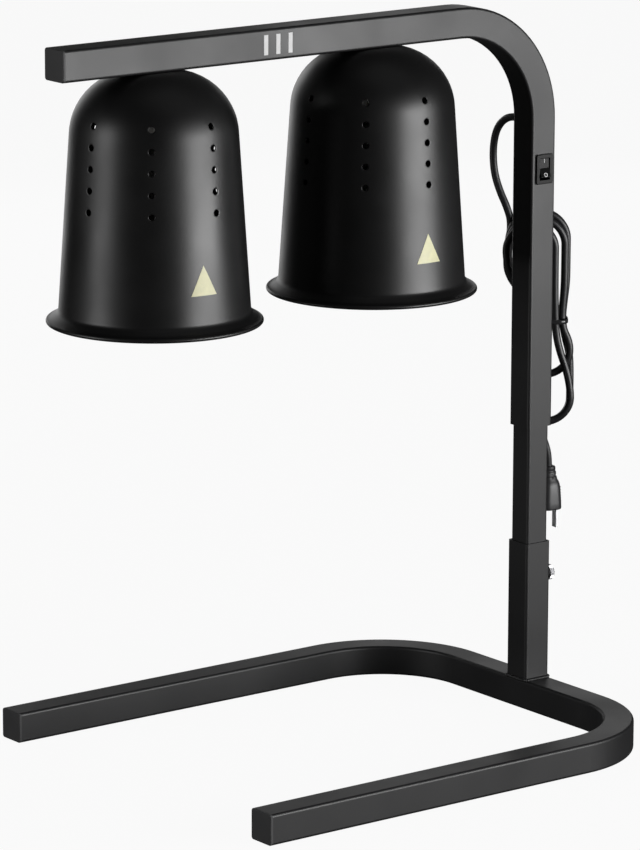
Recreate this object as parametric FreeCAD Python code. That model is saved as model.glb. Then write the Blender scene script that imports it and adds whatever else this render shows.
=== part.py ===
import FreeCAD, Part
import math
import os

# Two-bulb countertop heat lamp on a U-shaped base, with a telescoping post. Millimetres, +Z up.
# The origin is on the surface it stands on, midway between its front and its back.
# +X is the switch side, -Y is the front, where the base legs and the arm point.

V = FreeCAD.Vector
os.makedirs("parts", exist_ok=True)

# Driving dimensions
TUBE = 25.4                 # outside width of the square steel tube
WALL = 1.5
TUBE_CORNER = 2.4           # outside corner radius of the tube
BEND = 87.0                 # centre-line radius of every bend
BASE_WIDTH = 372.0
BASE_LEG = 408.0            # from the post's axis to the end of a leg's tube
ARM_REACH = 477.0           # from the post's axis to the end of the arm's tube
TOP_HEIGHT = 604.3          # top of the arm, as set
LOWER_TOP = 144.2           # top of the lower post
UPPER_BOTTOM = 244.0        # lower end of the upper frame, as set
MAST = 21.6                 # outside width of the inner mast
MAST_FOOT = 64.0            # lower end of the mast, as set
MAST_TOP = 330.0
CAP_FACE = 2.3              # thickness of an end cap's face
CAP_DEPTH = 12.0            # how far an end cap reaches into its tube
CAP_WALL = 1.5              # thickness of an end cap's gripping walls
CLAMP_Z = 113.0             # height of the clamp screw
CLAMP_REACH = 24.2          # from the post's axis to the outside of the clamp knob
LAMP_REACHES = {"front": 385.5, "rear": 169.7}
VENT_TURNS = {"front": 8.0, "rear": 2.5}
LABEL_TURNS = {"front": -4.2, "rear": 0.2}
SWITCH_Z = 463.0
CORD_EXIT_Z = 501.5
CORD = 6.4                  # diameter of the mains cord
HANK_HEADING = 52.7         # heading, in plan, of the tied hank's width

# Derived places
HALF = TUBE / 2
POST_Y = (ARM_REACH + CAP_FACE - CLAMP_REACH) / 2
ARM_Z = TOP_HEIGHT - HALF
ARM_UNDER = TOP_HEIGHT - TUBE
LEG_X = BASE_WIDTH / 2 - HALF
FRONT = V(0, -1, 0)
BACK = V(0, 1, 0)
UP = V(0, 0, 1)
SIDE = V(1, 0, 0)


def save(node, shape):
    """Write one node's solids as a STEP file."""
    shape.exportStep("parts/%s.step" % node)


def moved(shape, offset):
    copy = shape.copy()
    copy.translate(offset)
    return copy


def fused(solids):
    return solids[0].fuse(solids[1:]).removeSplitter() if len(solids) > 1 else solids[0]


def frame_at(origin, normal, across):
    """Placement whose local Z is normal and whose local X is across."""
    third = normal.cross(across)
    matrix = FreeCAD.Matrix(across.x, third.x, normal.x, origin.x,
                            across.y, third.y, normal.y, origin.y,
                            across.z, third.z, normal.z, origin.z)
    return FreeCAD.Placement(matrix)


def rounded_rectangle(width, height, radius):
    """Closed wire about the origin, in the XY plane, with its corners as arcs."""
    x, y = width / 2, height / 2
    edges = []
    corners = [(x - radius, y - radius, 0), (radius - x, y - radius, 90),
               (radius - x, radius - y, 180), (x - radius, radius - y, 270)]
    previous = None
    for cx, cy, start in corners:
        ends = [V(cx + radius * math.cos(math.radians(a)), cy + radius * math.sin(math.radians(a)), 0)
                for a in (start, start + 45, start + 90)]
        if previous is not None:
            edges.append(Part.LineSegment(previous, ends[0]).toShape())
        else:
            first = ends[0]
        edges.append(Part.Arc(*ends).toShape())
        previous = ends[2]
    edges.append(Part.LineSegment(previous, first).toShape())
    return Part.Wire(edges)


def tube_section(outside, wall, corner, origin, normal, across):
    """Face of a square tube's section, hollow."""
    outer = rounded_rectangle(outside, outside, corner)
    inner = rounded_rectangle(outside - 2 * wall, outside - 2 * wall, corner - 0.6 * wall)
    face = Part.Face(outer).cut(Part.Face(inner)).Faces[0]
    face.Placement = frame_at(origin, normal, across)
    return face


def straight_tube(start, along, length, across, outside=TUBE, wall=WALL, corner=TUBE_CORNER):
    return tube_section(outside, wall, corner, start, along, across).extrude(along * length)


def bent_tube(start, along, across, centre, axis, degrees=90):
    return tube_section(TUBE, WALL, TUBE_CORNER, start, along, across).revolve(centre, axis, degrees)


def block(low, high):
    return Part.makeBox(high[0] - low[0], high[1] - low[1], high[2] - low[2], V(*low))


def rod(radius, start, along, length):
    return Part.makeCylinder(radius, length, start, along)


def hexagon(across_flats, start, along, length, bore):
    """Hexagon nut with its bore."""
    radius = across_flats / math.sqrt(3)
    points = [V(radius * math.cos(math.radians(a)), radius * math.sin(math.radians(a)), 0)
              for a in range(0, 361, 60)]
    across = SIDE if abs(along.x) < 0.5 else BACK
    face = Part.Face(Part.makePolygon(points))
    face.Placement = frame_at(start, along, across)
    return face.extrude(along * length).cut(rod(bore, start - along, along, length + 2))


def revolved(points, centre):
    """Solid turned about a vertical axis from (radius, height) points joined by straight lines."""
    outline = [V(r, 0, z) for r, z in points]
    face = Part.Face(Part.makePolygon(outline + [outline[0]]))
    return moved(face.revolve(V(0, 0, 0), UP, 360), centre)


def route_wire(points, fullness=0.45, widest=None, report=None):
    """Straight runs joined by tangent arcs, each as large as its two runs allow."""
    edges = []
    start = points[0]
    for before, corner, after in zip(points, points[1:], points[2:]):
        back, ahead = (before - corner), (after - corner)
        shorter = min(back.Length, ahead.Length)
        turn = math.pi - back.getAngle(ahead)
        trim = fullness * shorter
        if widest:
            trim = min(trim, widest * math.tan(turn / 2))
        radius = trim / math.tan(turn / 2)
        if report:
            print("%s: radius %.1f mm, turn %.0f degrees" % (report, radius, math.degrees(turn)))
        back.normalize()
        ahead.normalize()
        first, last = corner + back * trim, corner + ahead * trim
        bisector = back + ahead
        bisector.normalize()
        middle = corner + bisector * (radius / math.cos(turn / 2) - radius)
        edges.append(Part.LineSegment(start, first).toShape())
        edges.append(Part.Arc(first, middle, last).toShape())
        start = last
    edges.append(Part.LineSegment(start, points[-1]).toShape())
    return Part.Wire(edges)


def round_cable(points, diameter, widest=None, report=None):
    """Cable along a route, with its volume held against section times length."""
    path = route_wire(points, widest=widest, report=report)
    ahead = points[1] - points[0]
    ahead.normalize()
    circle = Part.Wire(Part.makeCircle(diameter / 2, points[0], ahead))
    solid = Part.Wire(path).makePipeShell([circle], True, True)
    ideal = math.pi * diameter ** 2 / 4 * path.Length
    if abs(solid.Volume / ideal - 1) > 0.01:
        print("cable volume is off by %.1f%%" % (100 * (solid.Volume / ideal - 1)))
    if report:
        print("%s: length %.0f mm" % (report, path.Length))
    return solid


# ---------------------------------------------------------------- base and lower post

def make_base_frame():
    """One square tube bent into a U: two legs and a cross member."""
    z = HALF
    near_leg = straight_tube(V(LEG_X, POST_Y - BASE_LEG, z), BACK, BASE_LEG - BEND, SIDE)
    far_leg = straight_tube(V(-LEG_X, POST_Y - BASE_LEG, z), BACK, BASE_LEG - BEND, SIDE)
    near_bend = bent_tube(V(LEG_X, POST_Y - BEND, z), BACK, SIDE, V(LEG_X - BEND, POST_Y - BEND, z), UP)
    far_bend = bent_tube(V(-LEG_X, POST_Y - BEND, z), BACK, SIDE, V(BEND - LEG_X, POST_Y - BEND, z), -UP)
    cross = straight_tube(V(BEND - LEG_X, POST_Y, z), SIDE, 2 * (LEG_X - BEND), BACK)
    return fused([near_leg, near_bend, cross, far_bend, far_leg])


def make_end_cap(mouth, outward):
    """Moulded cap: a face with softened edges and four thin walls that grip inside the tube."""
    across = SIDE
    face = Part.Face(rounded_rectangle(TUBE, TUBE, TUBE_CORNER))
    face.Placement = frame_at(mouth, outward, across)
    plate = face.extrude(outward * CAP_FACE)
    rim = [e for e in plate.Edges if abs((e.CenterOfMass - mouth).dot(outward) - CAP_FACE) < 0.01]
    plate = plate.makeFillet(0.9, rim)
    bore = TUBE - 2 * WALL
    hollow = bore - 2 * CAP_WALL
    grip = Part.Face(rounded_rectangle(bore, bore, 1.5))
    grip = grip.cut(Part.Face(rounded_rectangle(hollow, hollow, 0.8)))
    grip.Placement = frame_at(mouth, -outward, across)
    return plate.fuse(grip.extrude(outward * -CAP_DEPTH)).removeSplitter().Solids[0]


def make_lower_post():
    """Tube welded on the cross member, with a hole for the clamp in its back wall."""
    post = straight_tube(V(0, POST_Y, TUBE), UP, LOWER_TOP - TUBE, SIDE)
    return post.cut(rod(CLAMP_STUD + 0.4, V(0, POST_Y + HALF - 3, CLAMP_Z), BACK, 6))


CLAMP_STUD = 3.0            # radius of the clamp stud
CLAMP_NUT = 5.0             # thickness of the weld nut
KNOB_RADIUS = 6.5
KNOB_DEPTH = 5.5
RUNNING = 0.05              # radial clearance of a running fit

save("base_frame", make_base_frame())
for side, x in (("near", LEG_X), ("far", -LEG_X)):
    save("base_cap_" + side, make_end_cap(V(x, POST_Y - BASE_LEG, HALF), FRONT))
save("lower_post", make_lower_post())
clamp_axis = V(0, POST_Y, CLAMP_Z)
save("clamp_nut", hexagon(10, clamp_axis + BACK * HALF, BACK, CLAMP_NUT, CLAMP_STUD + RUNNING))

stud_tip = MAST / 2 + 0.02
knob_inside = CLAMP_REACH - KNOB_DEPTH
stud_end = CLAMP_REACH - 1.6
stud = rod(CLAMP_STUD, clamp_axis + BACK * stud_tip, BACK, stud_end - stud_tip)
save("clamp_stud", stud)
knob = rod(KNOB_RADIUS, clamp_axis + BACK * knob_inside, BACK, KNOB_DEPTH)
knob = knob.makeChamfer(0.5, [e for e in knob.Edges if e.Length > 20 and len(e.Vertexes) == 1])
knob = knob.cut(rod(CLAMP_STUD + RUNNING, clamp_axis + BACK * (knob_inside - 1), BACK,
                    stud_end + 0.3 - knob_inside + 1))
save("clamp_knob", knob)


# ---------------------------------------------------------------- mast and upper frame

SCREW_HEIGHTS = (266.0, 302.0)
SCREW = 2.5                 # radius of the mast's fixing screws
NIPPLE = 5.0                # outside radius of the threaded lamp nipple
NIPPLE_BORE = 3.6
SWITCH_BODY = (13.6, 21.0)  # width along Y and height of the switch's body
RELIEF = 5.5                # radius of the strain relief in the post's wall


def make_mast():
    """Inner tube that slides in the lower post and is screwed inside the upper frame."""
    mast = straight_tube(V(0, POST_Y, MAST_FOOT), UP, MAST_TOP - MAST_FOOT, SIDE, MAST, WALL, 2.2)
    for z in SCREW_HEIGHTS:
        mast = mast.cut(rod(SCREW, V(0, POST_Y + MAST / 2 - 3, z), BACK, 5))
    return mast


def make_upper_frame():
    """One square tube: the post, a quarter bend and the arm that carries the lamps."""
    arm = straight_tube(V(0, POST_Y - ARM_REACH, ARM_Z), BACK, ARM_REACH - BEND, SIDE)
    bend = bent_tube(V(0, POST_Y - BEND, ARM_Z), BACK, SIDE, V(0, POST_Y - BEND, ARM_Z - BEND), -SIDE)
    post = straight_tube(V(0, POST_Y, UPPER_BOTTOM), UP, ARM_Z - BEND - UPPER_BOTTOM, SIDE)
    frame = fused([arm, bend, post])
    cuts = [rod(NIPPLE + 0.2, V(0, POST_Y - reach, ARM_UNDER - 2), UP, 5) for reach in LAMP_REACHES.values()]
    cuts += [rod(SCREW, V(0, POST_Y + HALF - 3, z), BACK, 5) for z in SCREW_HEIGHTS]
    width, height = SWITCH_BODY[0] + 0.2, SWITCH_BODY[1] + 0.2
    cuts.append(block((HALF - 3, POST_Y - width / 2, SWITCH_Z - height / 2),
                      (HALF + 2, POST_Y + width / 2, SWITCH_Z + height / 2)))
    cuts.append(rod(RELIEF, V(3 - HALF, POST_Y, CORD_EXIT_Z), -SIDE, 6))
    cuts.append(rod(EARTH_SCREW, V(3 - HALF, POST_Y, EARTH_Z), -SIDE, 6))
    return frame.cut(Part.makeCompound(cuts))


def make_mast_screws():
    """Two button-head screws through the back wall into the mast."""
    screws = []
    for z in SCREW_HEIGHTS:
        shank_start = V(0, POST_Y + MAST / 2 - WALL - 2, z)
        shank = rod(SCREW, shank_start, BACK, HALF - MAST / 2 + WALL + 2)
        head = Part.makeSphere(6.4).common(rod(4.6, V(0, 4.4, 0), BACK, 3))
        head = moved(head, V(0, POST_Y + HALF - 4.4, z))
        drive = hexagon(3, V(0, POST_Y + HALF + 0.7, z), BACK, 3, 0.01)
        screws.append(shank.fuse(head).cut(drive))
    return Part.makeCompound(screws)


EARTH_SCREW = 2.0
EARTH_Z = 482.0


def make_earth_screw():
    """Pan-head screw in the far wall, with the ring terminal and nut that hold the earth wire."""
    outside = V(-HALF, POST_Y, EARTH_Z)
    head = rod(3.8, outside, -SIDE, 2.2)
    head = head.makeFillet(0.9, [e for e in head.Edges if abs(e.CenterOfMass.x + HALF + 2.2) < 0.01])
    shank = rod(EARTH_SCREW, outside, SIDE, 6.5)
    nut = hexagon(7, outside + SIDE * (WALL + 0.8), SIDE, 3.2, EARTH_SCREW)
    ring = rod(6.3, outside + SIDE * WALL, SIDE, 0.8).cut(rod(EARTH_SCREW, outside, SIDE, 4))
    return head.fuse([shank, nut, ring]).removeSplitter()


save("inner_mast", make_mast())
save("upper_frame", make_upper_frame())
save("arm_cap", make_end_cap(V(0, POST_Y - ARM_REACH, ARM_Z), FRONT))
save("mast_screws", make_mast_screws())
save("earth_screw", make_earth_screw())


# ---------------------------------------------------------------- lamps

SHEET = 1.0                 # thickness of a shade's metal
DOME = 51.0                 # radius of a shade's shoulder in section
DOME_FLAT = 15.5            # radius of the flat on top of a shade
TAPER = 3.85                # degrees that a shade's side leans out
LEDGE = (85.0, -196.4)      # a point of the flared ledge: radius, and height below the shade's top
LEDGE_SLOPE = 35.0
LEDGE_FILLET = 5.0
BEAD = 1.8                  # radius of the rolled edge
BEAD_CENTRE = (84.0, -197.3)
VENT = 2.75                 # radius of a vent hole
VENT_ROWS = [-36.0 - 16.8 * row for row in range(5)]
HOLDER_TOP = -5.7           # lampholder's top, below the arm's underside
HOLDER_LENGTH = 48.0
HOLDER_RADIUS = 21.0
HOLDER_BORE = 13.8          # radius of the chamber that takes the bulb's cap
HOLDER_ROOF = 12.0          # thickness of the porcelain above that chamber
SHELL = 0.5                 # thickness of the screw shell and of the bulb's cap
BULB_TIP = HOLDER_TOP - 17.7
TONGUE = 0.6                # thickness of the centre contact's tongue
GLASS = 1.1                 # thickness of the bulb's glass
LABEL_BASE = 23.0           # width of the caution label
LABEL_HEIGHT = 23.5
LABEL_LOW = -165.6          # the label's lower edge, from the shade's top
LABEL_FILM = 0.2            # thickness of the label

# Outline of the bulb's glass, from its cap to its face: radius, height from the shade's top
BULB_OUTLINE = [(12.5, -51.0), (12.6, -53.6), (13.9, -57.0), (17.0, -61.5), (18.6, -68.0), (19.2, -79.0),
                (21.5, -88.0), (28.0, -101.0), (39.5, -119.0), (51.0, -137.0), (59.5, -153.0),
                (63.2, -167.0), (62.0, -178.0), (57.0, -184.0), (45.0, -187.8), (25.0, -190.4),
                (0.0, -191.4)]


def bell_outline(depth):
    """Section edges of a shade's skin, a given depth inside its outer face, from the top to the rim."""
    taper, slope = math.radians(TAPER), math.radians(LEDGE_SLOPE)
    radius = DOME - depth
    top = V(NIPPLE + 0.2, 0, -depth)
    turn_in = V(DOME_FLAT, 0, -depth)
    half = math.radians((90 + TAPER) / 2)
    middle = V(DOME_FLAT + radius * math.cos(half), 0, radius * math.sin(half) - DOME)
    turn_out = V(DOME_FLAT + radius * math.cos(taper), 0, radius * math.sin(taper) - DOME)
    side = V(math.sin(taper), 0, -math.cos(taper))
    ledge = V(math.cos(slope), 0, -math.sin(slope))
    rim = V(LEDGE[0] - depth * math.sin(slope), 0, LEDGE[1] - depth * math.cos(slope))
    # where the side and the ledge meet
    gap = rim - turn_out
    reach = (gap.x * ledge.z - gap.z * ledge.x) / (side.x * ledge.z - side.z * ledge.x)
    corner = turn_out + side * reach
    bend = (LEDGE_FILLET + depth) * math.tan((math.pi / 2 - taper - slope) / 2)
    start, end = corner - side * bend, corner + ledge * bend
    inward = ledge - side
    inward.normalize()
    sagitta = (LEDGE_FILLET + depth) * (1 / math.cos((math.pi / 2 - taper - slope) / 2) - 1)
    return [Part.LineSegment(top, turn_in).toShape(),
            Part.Arc(turn_in, middle, turn_out).toShape(),
            Part.LineSegment(turn_out, start).toShape(),
            Part.Arc(start, corner + inward * sagitta, end).toShape(),
            Part.LineSegment(end, rim).toShape()], top, rim


def make_shade(centre, vent_turn):
    """Spun bell with a flared ledge, a rolled edge and eight columns of five vent holes."""
    outer, outer_top, outer_rim = bell_outline(0)
    inner, inner_top, inner_rim = bell_outline(SHEET)
    closing = [Part.LineSegment(outer_rim, inner_rim).toShape(),
               Part.LineSegment(inner_top, outer_top).toShape()]
    section = Part.Face(Part.Wire(Part.__sortEdges__(outer + inner + closing)))
    skin = section.revolve(V(0, 0, 0), UP, 360)
    bead = Part.makeTorus(BEAD_CENTRE[0], BEAD, V(0, 0, BEAD_CENTRE[1]), UP)
    vents = []
    for column in range(4):
        turn = math.radians(vent_turn + 45 * column)
        across = V(math.cos(turn), math.sin(turn), 0)
        vents += [rod(VENT, across * -90 + UP * z, across, 180) for z in VENT_ROWS]
    shade = skin.fuse(bead).removeSplitter().cut(Part.makeCompound(vents))
    return moved(shade, centre)


def make_nuts(centre):
    """Lock nut inside the arm, and the washer and lock nut that draw the shade against it."""
    inside = hexagon(14, centre + UP * WALL, UP, 3.5, NIPPLE)
    washer = rod(12, centre - UP * (SHEET + 1.2), UP, 1.2).cut(rod(NIPPLE, centre - UP * 4, UP, 8))
    under = hexagon(14, centre + UP * HOLDER_TOP, UP, -HOLDER_TOP - SHEET - 1.2, NIPPLE)
    return inside, washer, under


def make_lampholder(centre):
    """Glazed porcelain body: a threaded neck hole above and the bulb's chamber below."""
    bottom = HOLDER_TOP - HOLDER_LENGTH
    outline = [(NIPPLE, HOLDER_TOP), (14, HOLDER_TOP), (HOLDER_RADIUS - 2, HOLDER_TOP - 4),
               (HOLDER_RADIUS - 2, HOLDER_TOP - 26), (HOLDER_RADIUS, HOLDER_TOP - 28),
               (HOLDER_RADIUS, bottom + 1.5), (HOLDER_RADIUS - 1.5, bottom), (HOLDER_BORE + 0.8, bottom),
               (HOLDER_BORE, bottom + 1.5), (HOLDER_BORE, HOLDER_TOP - HOLDER_ROOF),
               (NIPPLE, HOLDER_TOP - HOLDER_ROOF)]
    return revolved(outline, centre)


def make_screw_shell(centre):
    """Threaded sheet sleeve that grips the bulb, with a lug for the neutral wire."""
    low, high = HOLDER_TOP - 43, HOLDER_TOP - 17
    inside = HOLDER_BORE - SHELL
    sleeve = revolved([(inside, low), (HOLDER_BORE, low), (HOLDER_BORE, high), (inside, high)], centre)
    lug = block((-13.6, -2.5, high), (-9.5, 2.5, high + 0.8))
    return sleeve.fuse(moved(lug, centre)).removeSplitter()


def make_centre_contact(centre):
    """Spring tongue that meets the bulb's tip, riveted to the porcelain."""
    tongue = block((-4, -8, BULB_TIP), (4, 8, BULB_TIP + TONGUE))
    roof = HOLDER_TOP - HOLDER_ROOF
    rivet = rod(1.6, V(0, 6, BULB_TIP + TONGUE), UP, roof - BULB_TIP - TONGUE)
    return moved(tongue.fuse(rivet).removeSplitter(), centre)


def inset(points, depth):
    """Points moved square to their neighbours' line, towards the axis side."""
    result = []
    for index, (r, z) in enumerate(points):
        before = points[max(index - 1, 0)]
        after = points[min(index + 1, len(points) - 1)]
        dr, dz = after[0] - before[0], after[1] - before[1]
        length = math.hypot(dr, dz)
        result.append((max(r + dz / length * depth, 0.0), z - dr / length * depth))
    result[0] = (points[0][0] - depth, points[0][1])
    result[-1] = (0.0, points[-1][1] + depth)
    return result


def make_bulb_glass(centre):
    """Blown reflector envelope, open where the cap is cemented on."""
    outer = [V(r, 0, z) for r, z in BULB_OUTLINE]
    inner = [V(r, 0, z) for r, z in inset(BULB_OUTLINE, GLASS)]
    edges = []
    for points in (outer, inner):
        curve = Part.BSplineCurve()
        curve.interpolate(points)
        edges.append(curve.toShape())
    edges.append(Part.LineSegment(outer[0], inner[0]).toShape())
    edges.append(Part.LineSegment(outer[-1], inner[-1]).toShape())
    section = Part.Face(Part.Wire(Part.__sortEdges__(edges)))
    return moved(section.revolve(V(0, 0, 0), UP, 360), centre)


def make_bulb_cap(centre):
    """Screw cap of sheet brass with its insulator and contact button."""
    low = BULB_OUTLINE[0][1] - 2
    high = BULB_TIP - 4.5
    outside = HOLDER_BORE - SHELL - 0.2
    inside = outside - SHELL
    outline = [(inside, low), (outside, low), (outside, high), (9, high + 2.6), (4.6, high + 3.2),
               (4.6, BULB_TIP - 0.4), (4.0, BULB_TIP), (0, BULB_TIP), (0, high), (inside, high)]
    return revolved(outline, centre)


def shade_cone(proud):
    """Solid cone of the shade's side below its shoulder, grown by a film's thickness."""
    taper = math.radians(TAPER)
    radius = DOME_FLAT + DOME * math.cos(taper) + proud
    top = DOME * math.sin(taper) - DOME
    low = LABEL_LOW - 4.4
    return Part.makeCone(radius + (top - low) * math.tan(taper), radius, top - low, V(0, 0, low), UP)


def make_label(centre, turn):
    """Thin triangular film wrapped on the shade's side."""
    film = shade_cone(LABEL_FILM).cut(shade_cone(0.0))
    left, right = V(0, -LABEL_BASE / 2, LABEL_LOW), V(0, LABEL_BASE / 2, LABEL_LOW)
    apex = V(0, 0, LABEL_LOW + LABEL_HEIGHT)
    prism = Part.Face(Part.makePolygon([left, right, apex, left])).extrude(SIDE * 100)
    prism.rotate(V(0, 0, 0), UP, turn)
    return moved(film.common(prism), centre)


for place, reach in LAMP_REACHES.items():
    centre = V(0, POST_Y - reach, ARM_UNDER)
    save("shade_" + place, make_shade(centre, VENT_TURNS[place]))
    inside_nut, washer, under_nut = make_nuts(centre)
    save("nipple_" + place, rod(NIPPLE, centre + UP * (HOLDER_TOP - 10), UP, 20.9).cut(
        rod(NIPPLE_BORE, centre + UP * (HOLDER_TOP - 11), UP, 24)))
    save("arm_nut_" + place, inside_nut)
    save("shade_washer_" + place, washer)
    save("shade_nut_" + place, under_nut)
    save("lampholder_" + place, make_lampholder(centre))
    save("screw_shell_" + place, make_screw_shell(centre))
    save("centre_contact_" + place, make_centre_contact(centre))
    save("bulb_glass_" + place, make_bulb_glass(centre))
    save("bulb_cap_" + place, make_bulb_cap(centre))
    save("caution_label_" + place, make_label(centre, LABEL_TURNS[place]))


# ---------------------------------------------------------------- arm mark and switch

MARK_REACH = 274.0          # middle of the arm's mark, from the post's axis
MARK_PITCH = 12.0
MARK_STROKE = (4.0, 16.0)   # width and height of one stroke
INK = 0.15                  # thickness of the mark
BEZEL = (17.4, 25.0, 1.8)   # width, height and thickness of the switch's bezel
SWITCH_BACK = -1.0          # x of the back of the switch's body
POCKET = (10.8, 18.6)       # width along Y and height of the rocker's opening
PIVOT_X = 9.0               # x of the rocker's pivots
PIVOT = 1.0                 # radius of the pivots
ROCKER_WIDTH = 10.4
ROCKER_TILT = 11.0

# Side of the rocker, from its pivots' axis: x, z
ROCKER_PROFILE = [(6.2, 8.0), (4.6, 0.0), (6.2, -8.0), (1.0, -8.2), (-4.0, -3.5), (-4.0, 3.5), (1.0, 8.2)]


def make_arm_mark():
    """Printed generic mark on the arm's side: three short upright strokes."""
    width, height = MARK_STROKE
    strokes = []
    for index in range(3):
        y = POST_Y - MARK_REACH - MARK_PITCH * (index - 1)
        strokes.append(block((HALF, y - width / 2, ARM_Z - height / 2),
                             (HALF + INK, y + width / 2, ARM_Z + height / 2)))
    return Part.makeCompound(strokes)


def make_switch_housing():
    """Moulded body that snaps into the post, with a bezel and the rocker's pocket."""
    bezel = Part.Face(rounded_rectangle(BEZEL[0], BEZEL[1], 1.6)).extrude(UP * BEZEL[2])
    bezel.Placement = frame_at(V(HALF, POST_Y, SWITCH_Z), SIDE, BACK)
    front = HALF + BEZEL[2]
    bezel = bezel.makeFillet(0.7, [e for e in bezel.Edges if abs(e.CenterOfMass.x - front) < 0.01])
    width, height = SWITCH_BODY
    body = block((SWITCH_BACK, POST_Y - width / 2, SWITCH_Z - height / 2),
                 (HALF, POST_Y + width / 2, SWITCH_Z + height / 2))
    width, height = POCKET
    pocket = block((2, POST_Y - width / 2, SWITCH_Z - height / 2),
                   (HALF + 4, POST_Y + width / 2, SWITCH_Z + height / 2))
    pivot = rod(PIVOT + RUNNING, V(PIVOT_X, POST_Y - 6.3, SWITCH_Z), BACK, 12.6)
    return bezel.fuse(body).removeSplitter().cut(pocket).cut(pivot)


def make_rocker():
    """Rocker with a shallow V face on two short pivots, set with its top half pressed."""
    points = [V(PIVOT_X + x, POST_Y - ROCKER_WIDTH / 2, SWITCH_Z + z) for x, z in ROCKER_PROFILE]
    body = Part.Face(Part.makePolygon(points + [points[0]])).extrude(BACK * ROCKER_WIDTH)
    edges = [e for e in body.Edges if e.CenterOfMass.x > PIVOT_X + 5 and e.Length < 11]
    body = body.makeFillet(0.5, edges)
    rocker = body.fuse(rod(PIVOT, V(PIVOT_X, POST_Y - 6.1, SWITCH_Z), BACK, 12.2)).removeSplitter()
    rocker.rotate(V(PIVOT_X, POST_Y, SWITCH_Z), BACK, -ROCKER_TILT)
    return rocker


def make_terminals():
    """Two blade terminals on the back of the switch."""
    return Part.makeCompound([block((SWITCH_BACK - 7, POST_Y - 2.4, SWITCH_Z + z - 0.4),
                                    (SWITCH_BACK, POST_Y + 2.4, SWITCH_Z + z + 0.4)) for z in (-6, 6)])


save("arm_mark", make_arm_mark())
save("switch_housing", make_switch_housing())
save("rocker", make_rocker())
save("switch_terminals", make_terminals())


# ---------------------------------------------------------------- wiring inside the frame

WIRE = 2.1                  # diameter of an insulated wire
WIRE_X = 6.8                # how far to each side the wires lie in the arm
TOP_Z = ARM_Z + 5.5         # height at which the wires lie in the arm
SPLICE_REACH = 125.0        # the splices' open ends, from the post's axis
SPLICE_LENGTH = 22.0
RELIEF_INSIDE = 0.3         # x of the strain relief's inner end


def bend_corners(offset):
    """Corners of a route through the frame's bend, outside the bend's centre line by the offset."""
    radius = (BEND + offset) / math.cos(math.radians(15))
    turns = [math.radians(a) for a in (15, 45, 75)]
    return [V(0, -BEND + radius * math.cos(a), ARM_Z - BEND + radius * math.sin(a)) for a in turns]


def placed(points):
    """Points given from the post's axis, as points in the model."""
    return [V(x, POST_Y + y, z) for x, y, z in points]


def lamp_wires(reach, rise, foot_live, foot_neutral):
    """Live and neutral leads from the splices, down through a lamp's nipple to its contacts."""
    wires = []
    height = TOP_Z + rise
    for x, inner, foot in ((WIRE_X, 1.6, foot_live), (-WIRE_X, -1.6, foot_neutral)):
        outward = 11.6 if foot == foot_neutral else 0
        points = [(x, -SPLICE_REACH - SPLICE_LENGTH, height), (x, 16 - reach, height),
                  (inner, 6 - reach, height), (inner, -reach, height)]
        if outward:
            points += [(inner, -reach, foot + 2.5), (-outward, -reach, foot + 2.4), (-outward, -reach, foot)]
        else:
            points += [(inner, -reach, foot)]
        wires.append(round_cable(placed(points), WIRE, widest=4))
    return Part.makeCompound(wires)


def make_supply_wires():
    """Switched live from the switch and neutral from the cord, up the post and along the arm."""
    live = [(-3, 0, SWITCH_Z + 6.4), (-3, 0, 476), (3, 4, 488), (WIRE_X, 5.5, 503)]
    neutral = [(RELIEF_INSIDE, 1.5, CORD_EXIT_Z + 1.2), (4, 1.5, CORD_EXIT_Z + 1.2),
               (1, 4, 509), (-5, 5.5, 518)]
    wires = []
    for x, start in ((WIRE_X, live), (-WIRE_X, neutral)):
        bend = [(x, p.y, p.z) for p in bend_corners(TOP_Z - ARM_Z)]
        first = 0 if x > 0 else 1
        wires.append(round_cable(placed(start + bend[first:] + [(x, -SPLICE_REACH, TOP_Z)]), WIRE))
    line = [(RELIEF_INSIDE, 1.5, CORD_EXIT_Z - 1.5), (3.5, 1.5, CORD_EXIT_Z - 1.5), (3, 5, 491),
            (-4.5, 6.5, 478), (-4.5, 6.5, 462), (-4.5, 6.3, SWITCH_Z - 6), (-4.5, 2.4, SWITCH_Z - 6)]
    wires.append(round_cable(placed(line), WIRE, widest=8))
    return Part.makeCompound(wires)


def make_earth_wire():
    """Earth lead from the cord to the ring terminal on the post's wall."""
    points = [(RELIEF_INSIDE, -2, CORD_EXIT_Z), (3.5, -2, CORD_EXIT_Z), (3, -5.2, 492), (-4, -5.2, EARTH_Z),
              (-HALF + WALL + 0.8, -5.2, EARTH_Z)]
    return round_cable(placed(points), WIRE, widest=6)


def make_splices():
    """Crimped splices, one for the live wires and one for the neutral wires."""
    low = -SPLICE_REACH - SPLICE_LENGTH
    return Part.makeCompound([rod(2.9, placed([(x, low, TOP_Z)])[0], BACK, SPLICE_LENGTH)
                              for x in (WIRE_X, -WIRE_X)])


live_foot = ARM_UNDER + BULB_TIP + TONGUE
neutral_foot = ARM_UNDER + HOLDER_TOP - 17 + 0.8
save("wires_front", lamp_wires(LAMP_REACHES["front"], 1.3, live_foot, neutral_foot))
save("wires_rear", lamp_wires(LAMP_REACHES["rear"], -1.3, live_foot, neutral_foot))
save("supply_wires", make_supply_wires())
save("earth_wire", make_earth_wire())
save("wire_splices", make_splices())


# ---------------------------------------------------------------- mains cord, tied in a hank

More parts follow.
